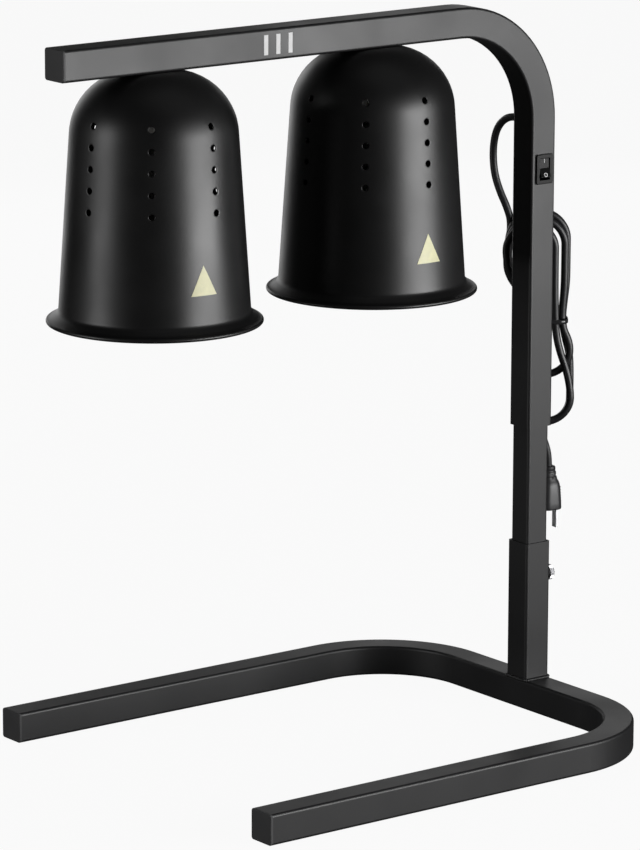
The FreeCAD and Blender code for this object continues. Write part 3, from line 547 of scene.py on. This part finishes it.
SILVER_FOOT, SILVER_FULL = 0.4125, 0.4165
glass = surface("bulb_glass", (0.86, 0.85, 0.82), 0.34, vary=0.04, grain=0.0012, relief=0.00001)
glass_tree = glass.node_tree
glass_place = glass_tree.nodes["Texture Coordinate"]
split = glass_tree.nodes.new("ShaderNodeSeparateXYZ")
silvered = glass_tree.nodes.new("ShaderNodeMapRange")
silvered.inputs["From Min"].default_value = SILVER_FOOT
silvered.inputs["From Max"].default_value = SILVER_FULL
glass_tree.links.new(glass_place.outputs["Object"], split.inputs["Vector"])
glass_tree.links.new(split.outputs["Z"], silvered.inputs["Value"])
glass_tree.links.new(silvered.outputs["Result"], glass_tree.nodes["Principled BSDF"].inputs["Metallic"])
glass_tree.nodes["Principled BSDF"].inputs["Coat Weight"].default_value = 0.4
porcelain = surface("porcelain", (0.8, 0.79, 0.75), 0.16, vary=0.05, patch=0.02, grain=0.003,
                    relief=0.00003)
brass = surface("plated_brass", (0.62, 0.52, 0.3), 0.3, metallic=1.0, patch=0.01, grain=0.0005,
                relief=0.000008)
zinc = surface("zinc_steel", (0.52, 0.53, 0.54), 0.34, metallic=1.0, vary=0.12, patch=0.006, grain=0.0004)
for place in ("front", "rear"):
    dress(glass, "bulb_glass_" + place)
    dress(porcelain, "lampholder_" + place)
    dress(brass, "bulb_cap_" + place, "screw_shell_" + place, "centre_contact_" + place)
    dress(zinc, "nipple_" + place, "arm_nut_" + place, "shade_washer_" + place, "shade_nut_" + place)


# ---------------------------------------------------------------- labels and the arm's mark
# A small triangle of pale printed film on each shade, left without its sign, and three plain
# pale strokes printed on the arm.

film = surface("label_film", (0.64, 0.62, 0.36), 0.4, vary=0.1, patch=0.008, grain=0.0005, relief=0.000006)
ink = surface("mark_ink", (0.66, 0.66, 0.66), 0.5, vary=0.08, patch=0.006, grain=0.0004, relief=0.00001)
dress(film, "caution_label_front", "caution_label_rear")
dress(ink, "arm_mark")


# ---------------------------------------------------------------- end caps
# Black polyethylene caps pushed into the open ends of the arm and of the base's legs. They are
# duller than the coat, with the fine spark texture of their mould.

cap_plastic = surface("cap_plastic", (0.045, 0.045, 0.046), 0.62, grain=0.0005, relief=0.00004)
dress(cap_plastic, "arm_cap", "base_cap_near", "base_cap_far")


# ---------------------------------------------------------------- switch
# A snap-in rocker switch: black nylon housing, glossier rocker, and the two usual on and off signs
# printed in white on the rocker's halves.

housing_plastic = surface("switch_housing_plastic", (0.008, 0.008, 0.008), 0.36, grain=0.0004,
                          relief=0.00001, shine=0.14)
rocker_plastic = surface("rocker_plastic", (0.006, 0.006, 0.006), 0.24, grain=0.0006,
                         relief=0.000005, shine=0.12)
sign_ink = surface("sign_ink", (0.8, 0.8, 0.8), 0.4, vary=0.06, patch=0.002, grain=0.0003, relief=0.000005)
dress(housing_plastic, "switch_housing")
dress(rocker_plastic, "rocker")

ROCKER_TILT = math.radians(-11)
SIGN_REACH, SIGN_RISE = 0.00575, 0.00575
FACE_LEAN = math.atan(0.2)
INK_UNDER, INK_TOP = -0.0001, 0.00008
RING_BORE, RING_RADIUS, RING_STEPS = 0.0013, 0.0018, 40
BAR_REACH, BAR_RADIUS = 0.0013, 0.00025
pivot = Vector((0.009, 0.22755, 0.463))


def make_sign(name, mesh, half):
    """Sets a flat sign on the rocker's upper (half = 1) or lower (half = -1) face."""
    mesh.materials.append(sign_ink)
    mesh.shade_smooth()
    place = (Matrix.Translation(pivot) @ Matrix.Rotation(ROCKER_TILT, 4, "Y")
             @ Matrix.Translation((SIGN_REACH + INK_TOP / 2, 0, SIGN_RISE * half))
             @ Matrix.Rotation(math.radians(90) + FACE_LEAN * half, 4, "Y"))
    return placed_piece(name, mesh, place, "rocker")


off_ring = bmesh.new()
loops = []
for radius, height in ((RING_BORE, INK_UNDER), (RING_BORE, INK_TOP),
                       (RING_RADIUS, INK_TOP), (RING_RADIUS, INK_UNDER)):
    angles = [math.tau * k / RING_STEPS for k in range(RING_STEPS)]
    loops.append([off_ring.verts.new((radius * math.cos(a), radius * math.sin(a), height)) for a in angles])
for here, there in zip(loops, loops[1:] + loops[:1]):
    for k in range(RING_STEPS):
        following = (k + 1) % RING_STEPS
        off_ring.faces.new((here[k], here[following], there[following], there[k]))
bmesh.ops.recalc_face_normals(off_ring, faces=off_ring.faces)
off_mesh = bpy.data.meshes.new("off_sign")
off_ring.to_mesh(off_mesh)
off_ring.free()
make_sign("off_sign", off_mesh, -1)

on_bar = bmesh.new()
rims = []
bar_angles = (-90, -60, -30, 0, 30, 60, 90, 91, 120, 150, 180, 210, 240, 269)
for height in (INK_UNDER, INK_TOP):
    rim = []
    for a in bar_angles:
        end = BAR_REACH if a <= 90 else -BAR_REACH
        across, along = BAR_RADIUS * math.cos(math.radians(a)), BAR_RADIUS * math.sin(math.radians(a))
        rim.append(on_bar.verts.new((end + across, along, height)))
    rims.append(rim)
for k in range(len(bar_angles)):
    following = (k + 1) % len(bar_angles)
    on_bar.faces.new((rims[0][k], rims[0][following], rims[1][following], rims[1][k]))
on_bar.faces.new(rims[0])
on_bar.faces.new(rims[1])
bmesh.ops.recalc_face_normals(on_bar, faces=on_bar.faces)
on_mesh = bpy.data.meshes.new("on_sign")
on_bar.to_mesh(on_mesh)
on_bar.free()
make_sign("on_sign", on_mesh, 1)


# ---------------------------------------------------------------- clamp screw
# Turned steel stud with a small knurled head, plated with nickel, that presses on the mast through
# the nut welded to the lower post.

steel = surface("bright_steel", (0.5, 0.5, 0.51), 0.38, metallic=1.0, vary=0.1, patch=0.005,
                grain=0.0004, relief=0.000008)
dress(steel, "clamp_stud", "plug_pins")
dress(zinc, "mast_screws", "earth_screw")


def lathe(section, steps):
    """Closed mesh turned from points (radius, height), starting and ending on the axis or closed."""
    mesh = bmesh.new()
    rings = [[mesh.verts.new((r * math.cos(math.tau * k / steps), r * math.sin(math.tau * k / steps), z))
              for k in range(steps)] for r, z in section]
    for upper, lower in zip(rings, rings[1:]):
        for k in range(steps):
            mesh.faces.new((upper[k], upper[(k + 1) % steps], lower[(k + 1) % steps], lower[k]))
    bmesh.ops.remove_doubles(mesh, verts=mesh.verts, dist=0.000001)
    bmesh.ops.recalc_face_normals(mesh, faces=mesh.faces)
    return mesh


def knurl_ring(name, count, radius, tooth, height):
    """Upright ridges standing round a turned head."""
    tree = bpy.data.node_groups.new(name, "GeometryNodeTree")
    tree.interface.new_socket(name="Geometry", in_out="OUTPUT", socket_type="NodeSocketGeometry")
    values = {}
    tree_socket(tree, "Count", "NodeSocketInt", count, values)
    tree_socket(tree, "Radius", "NodeSocketFloat", radius, values)
    tree_socket(tree, "Tooth", "NodeSocketVector", (tooth, tooth, height), values)
    tree_socket(tree, "Step", "NodeSocketFloat", math.tau / count, values)
    tree_socket(tree, "Material", "NodeSocketMaterial", steel, values)
    given = tree.nodes.new("NodeGroupInput")
    circle = tree.nodes.new("GeometryNodeMeshCircle")
    ridge = tree.nodes.new("GeometryNodeMeshCube")
    index = tree.nodes.new("GeometryNodeInputIndex")
    turn = tree.nodes.new("ShaderNodeMath")
    turn.operation = "MULTIPLY_ADD"
    turn.inputs[2].default_value = math.radians(45)
    angles = tree.nodes.new("ShaderNodeCombineXYZ")
    copies = tree.nodes.new("GeometryNodeInstanceOnPoints")
    real = tree.nodes.new("GeometryNodeRealizeInstances")
    paint = tree.nodes.new("GeometryNodeSetMaterial")
    made = tree.nodes.new("NodeGroupOutput")
    link = tree.links.new
    link(given.outputs["Count"], circle.inputs["Vertices"])
    link(given.outputs["Radius"], circle.inputs["Radius"])
    link(given.outputs["Tooth"], ridge.inputs["Size"])
    link(index.outputs["Index"], turn.inputs[0])
    link(given.outputs["Step"], turn.inputs[1])
    link(turn.outputs["Value"], angles.inputs["Z"])
    link(circle.outputs["Mesh"], copies.inputs["Points"])
    link(ridge.outputs["Mesh"], copies.inputs["Instance"])
    link(angles.outputs["Vector"], copies.inputs["Rotation"])
    link(copies.outputs["Instances"], real.inputs["Geometry"])
    link(real.outputs["Geometry"], paint.inputs["Geometry"])
    link(given.outputs["Material"], paint.inputs["Material"])
    link(paint.outputs["Geometry"], made.inputs["Geometry"])
    return grown(name, tree, values)


knob_low, knob_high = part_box("clamp_knob")
knob_radius = (knob_high.x - knob_low.x) / 2
knob_length = knob_high.y - knob_low.y
ridges = knurl_ring("knob_knurl", count=40, radius=knob_radius - 0.0004, tooth=0.00075,
                    height=knob_length * 0.66)
ridges.transform(Matrix.Translation((0, 0, knob_length * 0.48)))
head = lathe([(0, 0), (knob_radius - 0.0010, 0), (knob_radius - 0.0004, 0.0006),
              (knob_radius - 0.0004, knob_length - 0.0009), (knob_radius - 0.0010, knob_length - 0.0003),
              (knob_radius - 0.0018, knob_length), (0.0028, knob_length), (0.0022, knob_length - 0.0005),
              (0, knob_length - 0.0005)], 64)
head.from_mesh(ridges)
knob_mesh = bpy.data.meshes.new("knurled_knob")
head.to_mesh(knob_mesh)
head.free()
knob_mesh.materials.append(steel)
for face in knob_mesh.polygons:
    face.material_index = 0
knob_mesh.shade_smooth()
knob_mesh.set_sharp_from_angle(angle=math.radians(35))
knob_place = Vector(((knob_low.x + knob_high.x) / 2, knob_low.y, (knob_low.z + knob_high.z) / 2))
knob = placed_piece("knurled_knob", knob_mesh,
                    Matrix.Translation(knob_place) @ Matrix.Rotation(math.radians(-90), 4, "X"),
                    "clamp_knob")
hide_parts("clamp_knob")


# ---------------------------------------------------------------- strain relief
# Moulded PVC bush that snaps into the post's far wall: a flange outside and a tapered, ringed
# snout that lets the cord bend.

relief_low, relief_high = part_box("strain_relief")
relief_axis = Vector((relief_low.x, (relief_low.y + relief_high.y) / 2, (relief_low.z + relief_high.z) / 2))
snout = [(0.0033, 0), (0.0040, 0), (0.0042, 0.0004), (0.0044, 0.0010), (0.0039, 0.0011), (0.0039, 0.0016),
         (0.0046, 0.0017), (0.0048, 0.0023), (0.0043, 0.0024), (0.0043, 0.0029), (0.0050, 0.0030),
         (0.0052, 0.0036), (0.0047, 0.0037), (0.0047, 0.0042), (0.0054, 0.0043), (0.0056, 0.0048),
         (0.0070, 0.0051), (0.0074, 0.0056), (0.0074, 0.0068), (0.0072, 0.0070), (0.0062, 0.0070),
         (0.0062, 0.0150), (0.0050, 0.0200), (0, 0.0200), (0, 0.0003), (0.0033, 0)]
bush = lathe(snout, 48)
bush_mesh = bpy.data.meshes.new("strain_relief_bush")
bush.to_mesh(bush_mesh)
bush.free()
bush_mesh.materials.append(cord_pvc)
bush_mesh.shade_smooth()
bush_mesh.set_sharp_from_angle(angle=math.radians(40))
relief_bush = placed_piece("strain_relief_bush", bush_mesh,
                           Matrix.Translation(relief_axis) @ Matrix.Rotation(math.radians(90), 4, "Y"),
                           "upper")
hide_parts("strain_relief")


# ---------------------------------------------------------------- plug
# Moulded PVC plug with a slender neck, a shoulder and ribbed sides to grip, moulded on to the cord.
# Its two flat blades and round earth pin are bright steel.

plug_pvc = surface("plug_pvc", (0.016, 0.016, 0.017), 0.4, grain=0.0005, relief=0.00003)
PLUG_TURN = HANK_HEADING + math.radians(30)
LOOP_POINTS = 36


def rounded_loop(width, depth, corner, height):
    """Points round a rectangle with rounded corners, nine to each corner."""
    points = []
    for quarter in range(4):
        across = (width / 2 - corner) * (1 if quarter in (0, 3) else -1)
        along = (depth / 2 - corner) * (1 if quarter in (0, 1) else -1)
        for k in range(9):
            angle = math.radians(90 * quarter + 90 * k / 8)
            points.append(Vector((across + corner * math.cos(angle), along + corner * math.sin(angle),
                                  height)))
    return points


def rib_rows(name, count, step, length, radius):
    """A row of round ribs, each lying along Y."""
    tree = bpy.data.node_groups.new(name, "GeometryNodeTree")
    tree.interface.new_socket(name="Geometry", in_out="OUTPUT", socket_type="NodeSocketGeometry")
    values = {}
    tree_socket(tree, "Count", "NodeSocketInt", count, values)
    tree_socket(tree, "Step", "NodeSocketVector", step, values)
    tree_socket(tree, "Length", "NodeSocketFloat", length, values)
    tree_socket(tree, "Radius", "NodeSocketFloat", radius, values)
    tree_socket(tree, "Material", "NodeSocketMaterial", plug_pvc, values)
    given = tree.nodes.new("NodeGroupInput")
    row = tree.nodes.new("GeometryNodeMeshLine")
    rib = tree.nodes.new("GeometryNodeMeshUVSphere")
    rib.inputs["Segments"].default_value = 16
    rib.inputs["Rings"].default_value = 12
    rib.inputs["Radius"].default_value = 0.5
    stretch = tree.nodes.new("ShaderNodeCombineXYZ")
    copies = tree.nodes.new("GeometryNodeInstanceOnPoints")
    real = tree.nodes.new("GeometryNodeRealizeInstances")
    paint = tree.nodes.new("GeometryNodeSetMaterial")
    made = tree.nodes.new("NodeGroupOutput")
    link = tree.links.new
    link(given.outputs["Count"], row.inputs["Count"])
    link(given.outputs["Step"], row.inputs["Offset"])
    link(given.outputs["Radius"], stretch.inputs["X"])
    link(given.outputs["Length"], stretch.inputs["Y"])
    link(given.outputs["Radius"], stretch.inputs["Z"])
    link(row.outputs["Mesh"], copies.inputs["Points"])
    link(rib.outputs["Mesh"], copies.inputs["Instance"])
    link(stretch.outputs["Vector"], copies.inputs["Scale"])
    link(copies.outputs["Instances"], real.inputs["Geometry"])
    link(real.outputs["Geometry"], paint.inputs["Geometry"])
    link(given.outputs["Material"], paint.inputs["Material"])
    link(paint.outputs["Geometry"], made.inputs["Geometry"])
    return grown(name, tree, values)


plug_low, plug_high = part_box("plug_body")
plug_axis = Vector(((plug_low.x + plug_high.x) / 2, (plug_low.y + plug_high.y) / 2, 0))
top, foot = plug_high.z, plug_low.z
plug_sections = [(0.0096, 0.0096, 0.0047, top), (0.0116, 0.0116, 0.0057, top - 0.0006),
                 (0.0122, 0.0122, 0.0060, top - 0.0030), (0.0116, 0.0116, 0.0057, top - 0.0034),
                 (0.0117, 0.0118, 0.0057, top - 0.0044), (0.0126, 0.0128, 0.0060, top - 0.0048),
                 (0.0130, 0.0132, 0.0061, top - 0.0072), (0.0122, 0.0124, 0.0058, top - 0.0076),
                 (0.0124, 0.0128, 0.0058, top - 0.0086), (0.0136, 0.0142, 0.0061, top - 0.0090),
                 (0.0142, 0.0150, 0.0062, top - 0.0112), (0.0160, 0.0172, 0.0064, top - 0.0132),
                 (0.0170, 0.0186, 0.0066, top - 0.0150), (0.0178, 0.0196, 0.0066, top - 0.0180),
                 (0.0184, 0.0206, 0.0066, top - 0.0240), (0.0190, 0.0214, 0.0066, top - 0.0310),
                 (0.0193, 0.0218, 0.0066, foot + 0.0012), (0.0190, 0.0215, 0.0066, foot + 0.0004),
                 (0.0181, 0.0206, 0.0062, foot)]
moulding = bmesh.new()
loops = [[moulding.verts.new(p) for p in rounded_loop(*section)] for section in plug_sections]
for upper, lower in zip(loops, loops[1:]):
    for k in range(LOOP_POINTS):
        following = (k + 1) % LOOP_POINTS
        moulding.faces.new((upper[k], upper[following], lower[following], lower[k]))
moulding.faces.new(loops[0])
moulding.faces.new(loops[-1])
bmesh.ops.recalc_face_normals(moulding, faces=moulding.faces)
for side in (1, -1):
    ribs = rib_rows("plug_ribs", count=6, step=(0.00013 * side, 0, -0.0024), length=0.0125, radius=0.0016)
    ribs.transform(Matrix.Translation((0.0089 * side, 0, top - 0.0185)))
    moulding.from_mesh(ribs)
plug_mesh = bpy.data.meshes.new("moulded_plug")
moulding.to_mesh(plug_mesh)
moulding.free()
plug_mesh.materials.append(plug_pvc)
for face in plug_mesh.polygons:
    face.material_index = 0
plug_mesh.shade_smooth()
plug_mesh.set_sharp_from_angle(angle=math.radians(50))
plug = placed_piece("moulded_plug", plug_mesh,
                    Matrix.Translation(plug_axis) @ Matrix.Rotation(PLUG_TURN, 4, "Z"), "upper")
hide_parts("plug_body")


# ---------------------------------------------------------------- cord tie
# A flat plastic-covered wire drawn round the hank's waist, its two ends twisted together on the
# side away from the post.

tie_plastic = surface("tie_plastic", (0.02, 0.02, 0.021), 0.2, patch=0.01, grain=0.0006, relief=0.00001)
BAND_WIDTH, BAND_DEPTH, BAND_CORNER = 0.0322, 0.0232, 0.0075
TWIST_LENGTH, TWIST_STEPS, TWIST_OFFSET, WIRE_RADIUS = 0.016, 36, 0.0009, 0.0008
WIRE_SIDES = 8
band = bmesh.new()
band_rows = []
for grow, rise in ((-0.0005, -0.0015), (0.0, -0.0019), (0.0006, -0.0015), (0.0007, 0.0),
                   (0.0006, 0.0015), (0.0, 0.0019), (-0.0005, 0.0015)):
    row = rounded_loop(BAND_WIDTH + 2 * grow, BAND_DEPTH + 2 * grow, BAND_CORNER + grow, rise)
    band_rows.append([band.verts.new(p) for p in row])
for here, there in zip(band_rows, band_rows[1:] + band_rows[:1]):
    for k in range(LOOP_POINTS):
        following = (k + 1) % LOOP_POINTS
        band.faces.new((here[k], here[following], there[following], there[k]))
for strand_turn in (0, math.pi):
    rings = []
    for k in range(TWIST_STEPS + 1):
        along = TWIST_LENGTH * k / TWIST_STEPS
        swing = strand_turn + math.radians(30 * k)
        core = Vector((0.004 + TWIST_OFFSET * math.cos(swing), 0.0118 + along * 0.55,
                       TWIST_OFFSET * math.sin(swing) + along * 0.83))
        around_wire = [Vector((math.cos(math.tau * j / WIRE_SIDES), 0, math.sin(math.tau * j / WIRE_SIDES)))
                       for j in range(WIRE_SIDES)]
        rings.append([band.verts.new(core + WIRE_RADIUS * out) for out in around_wire])
    for here, there in zip(rings, rings[1:]):
        for j in range(WIRE_SIDES):
            following = (j + 1) % WIRE_SIDES
            band.faces.new((here[j], here[following], there[following], there[j]))
    band.faces.new(rings[0])
    band.faces.new(rings[-1])
bmesh.ops.recalc_face_normals(band, faces=band.faces)
tie_mesh = bpy.data.meshes.new("twist_tie")
band.to_mesh(tie_mesh)
band.free()
tie_mesh.materials.append(tie_plastic)
tie_mesh.shade_smooth()
tie_mesh.set_sharp_from_angle(angle=math.radians(60))
tie_centre = hank_point(0.0151, 0.0351, TIE_HEIGHT)
tie_place = Matrix.Translation(tie_centre) @ Matrix.Rotation(HANK_HEADING, 4, "Z")
twist_tie = placed_piece("twist_tie", tie_mesh, tie_place, "upper")
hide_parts("cord_tie")


# ---------------------------------------------------------------- wiring inside the frame
# Heat-resistant sleeved wires run up the post and along the arm to two crimped splices and down
# through the nipples. An earth wire goes to a screw in the post's wall.

dress(surface("black_sleeving", (0.02, 0.02, 0.02), 0.6, grain=0.0004, relief=0.00004),
      "wires_front", "wires_rear", "supply_wires")
dress(surface("green_sleeving", (0.02, 0.2, 0.04), 0.5, grain=0.0005), "earth_wire")
dress(surface("splice_nylon", (0.7, 0.69, 0.64), 0.35, vary=0.06, patch=0.01), "wire_splices")
dress(brass, "switch_terminals")
